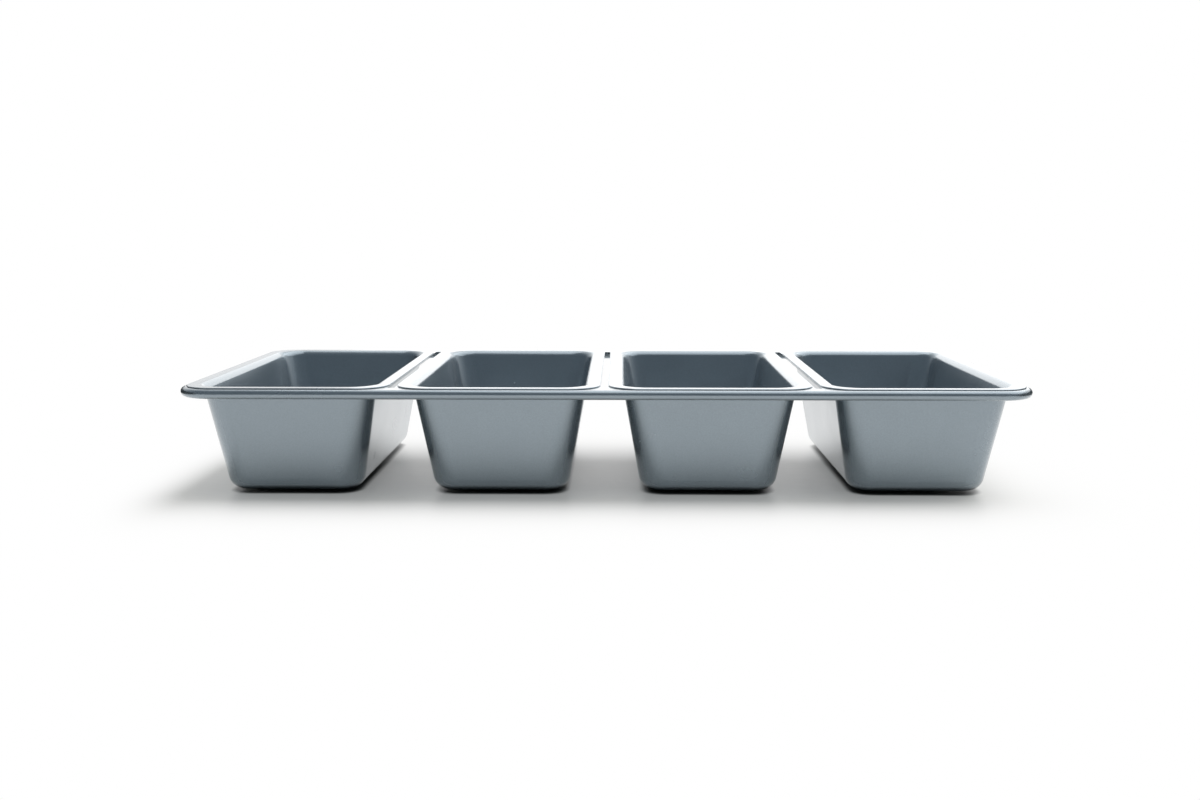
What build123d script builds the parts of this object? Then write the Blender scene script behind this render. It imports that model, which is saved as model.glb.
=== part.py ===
from build123d import *
import math
import os

# A linked loaf pan: four deep-drawn loaf pans in a row, carried by one pressed sheet frame. Each pan
# drops through its own opening and its flange lies flat on the frame. The frame's outer edge is
# rolled down round a steel wire. X runs along the row, Y from front to back and Z up. The origin is
# on the surface that the pans stand on, under the middle of the frame. Sizes are in millimetres.

# Loaf pans
pan_count = 4
mouth_width = 80.0
mouth_length = 156.0
pan_height = 51.0
pan_sheet = 0.6
wall_draft_degrees = 10.0
wall_corner_radius = 12.0
floor_edge_radius = 7.0
shoulder_radius = 3.4
flange_width = 6.4
flange_corner_radius = 15.0
flange_edge_bevel = 0.25

# Sheet frame
flange_gap = 3.8
frame_sheet = 0.8
web_reveal = 0.3
opening_clearance = 0.3
rim_flat_width = 0.5
slot_end_setback = 6.3
curl_degrees = 290.0

# Wire inside the rolled rim
wire_diameter = 2.7
wire_clearance = 0.05

# One overrun for every cut that has to pass a surface
cut_overrun = 2.0

# Sizes that follow from the ones above
wall_thickness_level = pan_sheet / math.cos(math.radians(wall_draft_degrees))
cup_width = mouth_width + 2 * wall_thickness_level
cup_length = mouth_length + 2 * wall_thickness_level
flange_span = cup_width + 2 * flange_width
flange_reach = cup_length + 2 * flange_width
pan_pitch = flange_span + flange_gap
seat_height = pan_height - pan_sheet
under_shoulder_radius = shoulder_radius - pan_sheet
curl_inner_radius = wire_diameter / 2 + wire_clearance
curl_outer_radius = curl_inner_radius + frame_sheet
curl_centre_height = seat_height - curl_outer_radius
crest_width = (pan_count - 1) * pan_pitch + flange_span + 2 * rim_flat_width
crest_length = flange_reach + 2 * rim_flat_width
crest_corner_radius = flange_corner_radius + rim_flat_width
slot_width = flange_gap - 2 * web_reveal
slot_length = crest_length - 2 * slot_end_setback
pan_places = [(index - (pan_count - 1) / 2) * pan_pitch for index in range(pan_count)]
slot_places = [(left + right) / 2 for left, right in zip(pan_places, pan_places[1:])]


def drafted_block(width, length, base, top, corner_radius, edge_radius):
    """A block whose walls lean out as they rise; width and length hold at the height of the flange."""
    upright = Align.CENTER, Align.CENTER, Align.MIN
    block = Pos(0, 0, base) * Box(width, length, top - base, align=upright)
    walls = block.faces().filter_by(Axis.Z, reverse=True)
    block = draft(walls, Plane.XY.offset(pan_height), -wall_draft_degrees)
    block = fillet(block.edges().group_by(Axis.Z)[1], corner_radius)
    return fillet(block.faces().sort_by(Axis.Z)[0].edges(), edge_radius)


def loaf_pan():
    """One pan: a drafted cup with a rounded floor edge, a turned shoulder and a bevelled flat flange."""
    cup = drafted_block(cup_width, cup_length, 0, pan_height, wall_corner_radius, floor_edge_radius)
    flange = Plane.XY.offset(seat_height) * RectangleRounded(flange_span, flange_reach, flange_corner_radius)
    solid = cup + extrude(flange, amount=pan_sheet)
    underside = solid.faces().filter_by(Plane.XY).sort_by(Axis.Z)[1]
    solid = fillet(underside.inner_wires()[0].edges(), under_shoulder_radius)
    solid -= drafted_block(mouth_width, mouth_length, pan_sheet, pan_height + cut_overrun,
                           wall_corner_radius - pan_sheet, floor_edge_radius - pan_sheet)
    mouth = solid.faces().sort_by(Axis.Z)[-1].inner_wires()[0]
    solid = fillet(mouth.edges(), shoulder_radius)
    underside, top = solid.faces().filter_by(Plane.XY).sort_by(Axis.Z)[-2:]
    brim = underside.outer_wire().edges() + top.outer_wire().edges()
    return chamfer(brim, flange_edge_bevel)


def round_the_rim(section):
    """Carry a section once round the rim; its origin runs along the crest line of the roll."""
    half_width = crest_width / 2
    half_length = crest_length / 2
    side_end = half_length - crest_corner_radius
    back_end = half_width - crest_corner_radius
    side = Plane((half_width, side_end, curl_centre_height), x_dir=(1, 0, 0), z_dir=(0, -1, 0)) * section
    back = Plane((back_end, half_length, curl_centre_height), x_dir=(0, 1, 0), z_dir=(1, 0, 0)) * section
    corner_axis = Axis((back_end, side_end, curl_centre_height), (0, 0, 1))
    quarter = extrude(side, amount=side_end) + extrude(back, amount=-back_end)
    quarter += revolve(side, axis=corner_axis, revolution_arc=90)
    right_half = quarter + mirror(quarter, Plane.XZ)
    return right_half + mirror(right_half, Plane.YZ)


def curl_section():
    """The rolled edge in section: the sheet turns down at the crest and wraps the wire."""
    outside = CenterArc((0, 0), curl_outer_radius, 90, -curl_degrees)
    inside = CenterArc((0, 0), curl_inner_radius, 90, -curl_degrees)
    ends = [Line(outside @ 0, inside @ 0), Line(outside @ 1, inside @ 1)]
    return make_face([outside, inside] + ends)


def frame():
    """The sheet that links the pans: openings for the cups, slots between them and a rolled rim."""
    reach = under_shoulder_radius + opening_clearance
    sheet = RectangleRounded(crest_width, crest_length, crest_corner_radius)
    opening = RectangleRounded(cup_width + 2 * reach, cup_length + 2 * reach, wall_corner_radius + reach)
    for place in pan_places:
        sheet -= Pos(place, 0) * opening
    for place in slot_places:
        sheet -= Pos(place, 0) * SlotOverall(slot_length, slot_width, rotation=90)
    plate = extrude(Plane.XY.offset(seat_height - frame_sheet) * sheet, amount=frame_sheet)
    return plate + round_the_rim(curl_section())


def rim_wire():
    """The closed steel wire that the rim is rolled round."""
    return round_the_rim(Circle(wire_diameter / 2).face())


def write_parts():
    os.makedirs("parts", exist_ok=True)
    export_step(frame(), "parts/frame.step")
    export_step(rim_wire(), "parts/rim_wire.step")
    pan = loaf_pan()
    for number, place in enumerate(pan_places, start=1):
        export_step(Pos(place, 0, 0) * pan, f"parts/loaf_pan_{number}.step")


write_parts()
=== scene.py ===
import math

import bmesh
import bpy
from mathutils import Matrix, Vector


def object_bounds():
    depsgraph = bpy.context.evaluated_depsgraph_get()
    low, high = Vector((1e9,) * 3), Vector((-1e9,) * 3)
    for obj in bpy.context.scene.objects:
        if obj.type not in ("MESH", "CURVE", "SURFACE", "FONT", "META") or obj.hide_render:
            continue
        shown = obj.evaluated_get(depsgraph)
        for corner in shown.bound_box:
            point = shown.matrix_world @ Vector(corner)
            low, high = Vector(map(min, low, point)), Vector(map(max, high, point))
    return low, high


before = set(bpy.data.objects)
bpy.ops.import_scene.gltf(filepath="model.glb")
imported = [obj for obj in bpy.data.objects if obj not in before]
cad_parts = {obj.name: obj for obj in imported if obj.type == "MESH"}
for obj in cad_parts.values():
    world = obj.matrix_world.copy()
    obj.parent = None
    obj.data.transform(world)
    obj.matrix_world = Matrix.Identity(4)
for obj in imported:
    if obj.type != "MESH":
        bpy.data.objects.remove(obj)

# Lengths are in metres, as in model.glb. X runs along the row, Y from front to back and Z up.

CAD_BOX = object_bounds()
BOX_LOW, BOX_HIGH = CAD_BOX
ORIGIN = (0.0, 0.0, 0.0)
WHITE = (1.0, 1.0, 1.0, 1.0)

# Camera of the photograph. Unturned it looks straight down, and at LEVEL_DEGREES it looks level.
SENSOR_MM = 36.0
LENS_MM = 38.1
CAMERA_RIGHT = 0.00725
CAMERA_BEFORE_RIM = 0.5652
CAMERA_HEIGHT = 0.1275
LEVEL_DEGREES = 90.0
CAMERA_DOWN_DEGREES = 8.175
CAMERA_LEFT_DEGREES = 0.916

# Most of a noise pattern lies between these values
NOISE_FROM = 0.3
NOISE_TO = 0.7

# Coating
COATING_COLOUR = (0.290, 0.346, 0.387)
COATING_METALLIC = 0.68
COAT_WEIGHT = 1.0
COAT_ROUGHNESS = 0.21
MOTTLE_SIZE = 0.030
MOTTLE_DETAIL = 4.0
MOTTLE_SHADE = 0.96, 1.04
GRAIN_SIZE = 0.0006
GRAIN_DETAIL = 2.0
GRAIN_SHADE = 0.94, 1.06
PEEL_SIZE = 0.0016
PEEL_DETAIL = 3.0
PEEL_DEPTH = 0.000004
ROUGHNESS_RANGE = 0.22, 0.28

# Streaks of the wire and the paper
STREAK_DETAIL = 3.0

# Rim wire
WIRE_COLOUR = (0.50, 0.50, 0.49)
WIRE_LINE_WIDTH = 0.00012
WIRE_LINE_LENGTH = 0.008
WIRE_SHADE = 0.8, 1.1
WIRE_ROUGHNESS = 0.28, 0.42

# Paper floor
FLOOR_SIZE = 8.0
FLOOR_DROP = 0.0012
FLOOR_COLOUR = (0.865, 0.847, 0.783)
FLOOR_ROUGHNESS = 0.4
PAPER_LINE_WIDTH = 0.0012
PAPER_LINE_LENGTH = 0.015
PAPER_SHADE = 0.97, 1.03

# The floor fades to white outside the shadow's box, whose sides lie inside the part's own box. Each
# pair of fade lengths is along X and Y. The shadow is lifted by painted light: a share of white inside
# the shadow's box.
SHADOW_LEFT_INSET = 0.006
SHADOW_FRONT_INSET = 0.023
SHADOW_RIGHT_INSET = 0.042
SHADOW_REAR_INSET = 0.105
SHADOW_LOW = (BOX_LOW.x + SHADOW_LEFT_INSET, BOX_LOW.y + SHADOW_FRONT_INSET, 0.0)
SHADOW_HIGH = (BOX_HIGH.x - SHADOW_RIGHT_INSET, BOX_HIGH.y - SHADOW_REAR_INSET, 0.0)
FADE_LOW = 0.018, 0.040
FADE_HIGH = 0.040, 0.068
# Painted light: the share of white laid over the shadow to lighten it
PAINTED_SHADOW_LIFT = 0.155

# Painted contact shadow: where a point's openness is low, the paper's colour is darkened and the white
# fade is held back. A point's openness is the share of directions that are clear within the reach.
CONTACT_REACH = 0.005
# Painted contact shade: the paper's colour at no openness, and the share of the white fade left there
PAINTED_CONTACT_SHADE = 0.1
PAINTED_CONTACT_FADE = 0.12
CONTACT_FROM = 0.35
CONTACT_TO = 0.7

# Dark cards beside the object
CARD_DISTANCE = 0.10
CARD_Y = -0.14, 0.20
CARD_Z = 0.02, 0.09
CARD_COLOUR = (0.03, 0.03, 0.03, 1.0)

# Dim room, open towards the bright side
ROOM_RADIUS = 6.0
ROOM_SEGMENTS = 48
ROOM_RINGS = 24
ROOM_COLOUR = (0.15, 0.18, 0.208, 1.0)
BRIGHT_SIDE = (0.2, 0.96, 0.15)
BRIGHT_FROM = -0.2
BRIGHT_TO = 0.85

# Lamps
OVERHEAD_SIZE = 1.4, 1.4
OVERHEAD_PLACE = 0.32, 0.1, 0.85
OVERHEAD_WATTS = 7.1
REAR_SIZE = 1.4, 0.8
REAR_PLACE = 0.25, 1.1, 0.45
REAR_WATTS = 1.8


def node(tree, kind, inputs=None, **settings):
    """Add a shader node. Inputs maps a socket to a value or to the socket that feeds it."""
    made = tree.nodes.new(kind)
    for name, value in settings.items():
        setattr(made, name, value)
    for name, value in (inputs or {}).items():
        if isinstance(value, bpy.types.NodeSocket):
            tree.links.new(value, made.inputs[name])
        else:
            made.inputs[name].default_value = value
    return made


def number(tree, operation, *values):
    """Work out a number from numbers."""
    return node(tree, "ShaderNodeMath", dict(enumerate(values)), operation=operation).outputs[0]


def vector(tree, operation, *values):
    """Work out a vector from vectors."""
    return node(tree, "ShaderNodeVectorMath", dict(enumerate(values)), operation=operation).outputs[0]


def measure(tree, operation, *values):
    """Work out a number from vectors."""
    made = node(tree, "ShaderNodeVectorMath", dict(enumerate(values)), operation=operation)
    return made.outputs["Value"]


def shaded(tree, colour, shade):
    """A colour times a shade, where one leaves it as it is."""
    inputs = {0: colour, "Scale": shade}
    return node(tree, "ShaderNodeVectorMath", inputs, operation="SCALE").outputs[0]


def mix(tree, share, first, second):
    """A mix of two shaders with this share of the second."""
    return node(tree, "ShaderNodeMixShader", {0: share, 1: first, 2: second}).outputs[0]


def blank_material(name):
    """A material with no nodes yet, and its node tree."""
    material = bpy.data.materials.new(name)
    material.use_nodes = True
    material.node_tree.nodes.clear()
    return material, material.node_tree


def noise(tree, place, size, detail):
    """Noise whose blotches are about one size across, from 0 to 1."""
    inputs = {"Vector": place, "Scale": 1 / size, "Detail": detail}
    return node(tree, "ShaderNodeTexNoise", inputs).outputs["Fac"]


def streaks(tree, place, width, length):
    """Noise drawn out along X, from 0 to 1."""
    rates = (1 / length, 1 / width, 1 / width)
    stretched = vector(tree, "MULTIPLY", place, rates)
    return noise(tree, stretched, 1.0, STREAK_DETAIL)


def spread(tree, value, low, high, start=NOISE_FROM, end=NOISE_TO):
    """Stretch the part of a value from start to end over low to high."""
    inputs = {"Value": value, "From Min": start, "From Max": end, "To Min": low, "To Max": high}
    return node(tree, "ShaderNodeMapRange", inputs, clamp=True).outputs["Result"]


def coating():
    """Satin blue-grey release coating on pressed steel."""
    material, tree = blank_material("non_stick_coating")
    place = node(tree, "ShaderNodeTexCoord").outputs["Object"]
    mottle = noise(tree, place, MOTTLE_SIZE, MOTTLE_DETAIL)
    grain = noise(tree, place, GRAIN_SIZE, GRAIN_DETAIL)
    peel = noise(tree, place, PEEL_SIZE, PEEL_DETAIL)
    mottle_shade = spread(tree, mottle, *MOTTLE_SHADE)
    grain_shade = spread(tree, grain, *GRAIN_SHADE)
    shade = number(tree, "MULTIPLY", mottle_shade, grain_shade)
    bump = node(tree, "ShaderNodeBump", {"Height": peel, "Distance": PEEL_DEPTH, "Strength": 1.0})
    shader = node(tree, "ShaderNodeBsdfPrincipled", {
        "Base Color": shaded(tree, COATING_COLOUR, shade),
        "Metallic": COATING_METALLIC,
        "Roughness": spread(tree, mottle, *ROUGHNESS_RANGE),
        "Coat Weight": COAT_WEIGHT,
        "Coat Roughness": COAT_ROUGHNESS,
        "Normal": bump.outputs[0],
    })
    node(tree, "ShaderNodeOutputMaterial", {"Surface": shader.outputs[0]})
    return material


def drawn_steel():
    """Bare wire with fine drawing lines."""
    material, tree = blank_material("rim_wire_steel")
    place = node(tree, "ShaderNodeTexCoord").outputs["Object"]
    lines = streaks(tree, place, WIRE_LINE_WIDTH, WIRE_LINE_LENGTH)
    shade = spread(tree, lines, *WIRE_SHADE)
    shader = node(tree, "ShaderNodeBsdfPrincipled", {
        "Base Color": shaded(tree, WIRE_COLOUR, shade),
        "Metallic": 1.0,
        "Roughness": spread(tree, lines, *WIRE_ROUGHNESS),
    })
    node(tree, "ShaderNodeOutputMaterial", {"Surface": shader.outputs[0]})
    return material


def seen_ray(tree):
    """One for the rays that show the backdrop: camera, glossy and transmission rays."""
    rays = node(tree, "ShaderNodeLightPath").outputs
    camera_or_glossy = number(tree, "MAXIMUM", rays["Is Camera Ray"], rays["Is Glossy Ray"])
    return number(tree, "MAXIMUM", camera_or_glossy, rays["Is Transmission Ray"])


def run_out(tree, end, start, lengths):
    """How far end lies beyond start along X and Y, in fade lengths."""
    beyond = vector(tree, "SUBTRACT", end, start)
    rates = (1 / lengths[0], 1 / lengths[1], 0.0)
    return vector(tree, "MULTIPLY", beyond, rates)


def away_from_shadow(tree, place):
    """How far a place lies outside the shadow's box, in fade lengths, and zero inside it."""
    past_low = run_out(tree, SHADOW_LOW, place, FADE_LOW)
    past_high = run_out(tree, place, SHADOW_HIGH, FADE_HIGH)
    past = vector(tree, "MAXIMUM", past_low, past_high)
    outside = vector(tree, "MAXIMUM", past, ORIGIN)
    return measure(tree, "LENGTH", outside)


def bell_rise(tree, away):
    """From 0 at no distance up to 1 far away, along a bell curve turned upside down."""
    squared = number(tree, "MULTIPLY", away, away)
    falling = number(tree, "MULTIPLY", squared, -1.0)
    bell = number(tree, "EXPONENT", falling)
    return number(tree, "SUBTRACT", 1.0, bell)


def white_share_with_painted_light(tree, place, openness):
    """Share of white in the floor, which only the rays that show the backdrop meet, with painted light
    over the shadow and painted contact shade.
    """
    rise = bell_rise(tree, away_from_shadow(tree, place))
    # Painted contact shade: the white fade is held back where openness is low
    painted_contact_keep = spread(tree, openness, PAINTED_CONTACT_FADE, 1.0, CONTACT_FROM, CONTACT_TO)
    faded = number(tree, "MULTIPLY", rise, painted_contact_keep)
    # Painted light: a share of white over the shadow, less where openness is low
    painted_lift = spread(tree, openness, 0.0, PAINTED_SHADOW_LIFT, CONTACT_FROM, CONTACT_TO)
    share = number(tree, "MAXIMUM", faded, painted_lift)
    return number(tree, "MULTIPLY", share, seen_ray(tree))


def paper(tree, place, openness):
    """Pale paper with faint fibres, and painted contact shade where something stands on it."""
    # Painted contact shade darkens the paper's colour where openness is low
    painted_contact_shade = spread(tree, openness, PAINTED_CONTACT_SHADE, 1.0, CONTACT_FROM, CONTACT_TO)
    fibres = streaks(tree, place, PAPER_LINE_WIDTH, PAPER_LINE_LENGTH)
    fibre_shade = spread(tree, fibres, *PAPER_SHADE)
    shade = number(tree, "MULTIPLY", painted_contact_shade, fibre_shade)
    inputs = {"Base Color": shaded(tree, FLOOR_COLOUR, shade), "Roughness": FLOOR_ROUGHNESS}
    return node(tree, "ShaderNodeBsdfPrincipled", inputs).outputs[0]


def floor_material():
    """Paper that keeps the shadow near the object and runs out into white, with painted light over the
    shadow and painted contact shade.
    """
    material, tree = blank_material("paper")
    place = node(tree, "ShaderNodeNewGeometry").outputs["Position"]
    openness = node(tree, "ShaderNodeAmbientOcclusion", {"Distance": CONTACT_REACH}).outputs["AO"]
    white = node(tree, "ShaderNodeEmission", {"Color": WHITE, "Strength": 1.0}).outputs[0]
    share = white_share_with_painted_light(tree, place, openness)
    mixed = mix(tree, share, paper(tree, place, openness), white)
    node(tree, "ShaderNodeOutputMaterial", {"Surface": mixed})
    return material


def card_material():
    """Matt dark card."""
    material, tree = blank_material("dark_card")
    shader = node(tree, "ShaderNodeBsdfDiffuse", {"Color": CARD_COLOUR})
    node(tree, "ShaderNodeOutputMaterial", {"Surface": shader.outputs[0]})
    return material


def room_material():
    """Dim walls that thin out to nothing towards the bright side, where the white backdrop shows."""
    material, tree = blank_material("dim_room")
    place = node(tree, "ShaderNodeNewGeometry").outputs["Position"]
    direction = vector(tree, "NORMALIZE", place)
    towards = measure(tree, "DOT_PRODUCT", direction, BRIGHT_SIDE)
    inputs = {"Value": towards, "From Min": BRIGHT_FROM, "From Max": BRIGHT_TO}
    share = node(tree, "ShaderNodeMapRange", inputs, interpolation_type="SMOOTHSTEP").outputs["Result"]
    dim = node(tree, "ShaderNodeEmission", {"Color": ROOM_COLOUR, "Strength": 1.0}).outputs[0]
    opening = node(tree, "ShaderNodeBsdfTransparent").outputs[0]
    node(tree, "ShaderNodeOutputMaterial", {"Surface": mix(tree, share, dim, opening)})
    return material


def placed(name, data):
    """An object with this data, linked to the scene."""
    made = bpy.data.objects.new(name, data)
    bpy.context.scene.collection.objects.link(made)
    return made


def panel(name, corners, material):
    """An object with one flat face."""
    mesh = bpy.data.meshes.new(name)
    mesh.from_pydata(corners, [], [range(len(corners))])
    mesh.materials.append(material)
    return placed(name, mesh)


def studio_floor():
    """A large sheet of paper just under the object."""
    half = FLOOR_SIZE / 2
    height = BOX_LOW.z - FLOOR_DROP
    corners = [(-half, -half, height), (half, -half, height), (half, half, height), (-half, half, height)]
    floor = panel("floor", corners, floor_material())


def side_card(name, place, material):
    """A dark card beside the object, seen only in its gloss, that gives the rim's ends a dark edge."""
    (front, back), (low, high) = CARD_Y, CARD_Z
    corners = [(place, front, low), (place, back, low), (place, back, high), (place, front, high)]
    card = panel(name, corners, material)
    card.visible_camera = False
    card.visible_diffuse = False
    card.visible_shadow = False


def side_cards():
    """One dark card at each end of the row."""
    material = card_material()
    side_card("left_card", BOX_LOW.x - CARD_DISTANCE, material)
    side_card("right_card", BOX_HIGH.x + CARD_DISTANCE, material)


def studio_world():
    """A white backdrop, the same to the camera, to gloss and to light."""
    world = bpy.data.worlds.new("studio")
    bpy.context.scene.world = world
    world.use_nodes = True
    tree = world.node_tree
    tree.nodes.clear()
    white = node(tree, "ShaderNodeBackground", {"Color": WHITE})
    node(tree, "ShaderNodeOutputWorld", {"Surface": white.outputs[0]})


def dim_room():
    """The studio round the set, which the camera looks past: dim in front of the object and overhead."""
    mesh = bpy.data.meshes.new("room")
    form = bmesh.new()
    bmesh.ops.create_uvsphere(form, u_segments=ROOM_SEGMENTS, v_segments=ROOM_RINGS, radius=ROOM_RADIUS)
    form.to_mesh(mesh)
    form.free()
    mesh.materials.append(room_material())
    room = placed("room", mesh)
    room.visible_camera = False


def softbox(name, place, size, watts):
    """A rectangular lamp that faces the origin."""
    light = bpy.data.lights.new(name, "AREA")
    light.shape = "RECTANGLE"
    light.size, light.size_y = size
    light.energy = watts
    lamp = placed(name, light)
    lamp.location = place
    lamp.rotation_euler = (Vector(ORIGIN) - Vector(place)).to_track_quat("-Z", "Y").to_euler()
    lamp.visible_camera = False


def photo_camera():
    """The camera of the photograph."""
    data = bpy.data.cameras.new("camera")
    data.sensor_width = SENSOR_MM
    data.lens = LENS_MM
    camera = placed("camera", data)
    camera.location = (CAMERA_RIGHT, BOX_LOW.y - CAMERA_BEFORE_RIM, CAMERA_HEIGHT)
    tilt = math.radians(LEVEL_DEGREES - CAMERA_DOWN_DEGREES)
    camera.rotation_euler = (tilt, 0.0, math.radians(CAMERA_LEFT_DEGREES))
    bpy.context.scene.camera = camera


def dress(material, *names):
    """Give these parts of model.glb their material."""
    for name in names:
        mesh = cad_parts[name].data
        mesh.materials.clear()
        mesh.materials.append(material)


bpy.context.scene.view_settings.view_transform = "Standard"
pans = sorted(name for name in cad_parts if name.startswith("loaf_pan"))
dress(coating(), "frame", *pans)
dress(drawn_steel(), "rim_wire")
studio_floor()
side_cards()
studio_world()
dim_room()
softbox("overhead_softbox", OVERHEAD_PLACE, OVERHEAD_SIZE, OVERHEAD_WATTS)
softbox("rear_softbox", REAR_PLACE, REAR_SIZE, REAR_WATTS)
photo_camera()
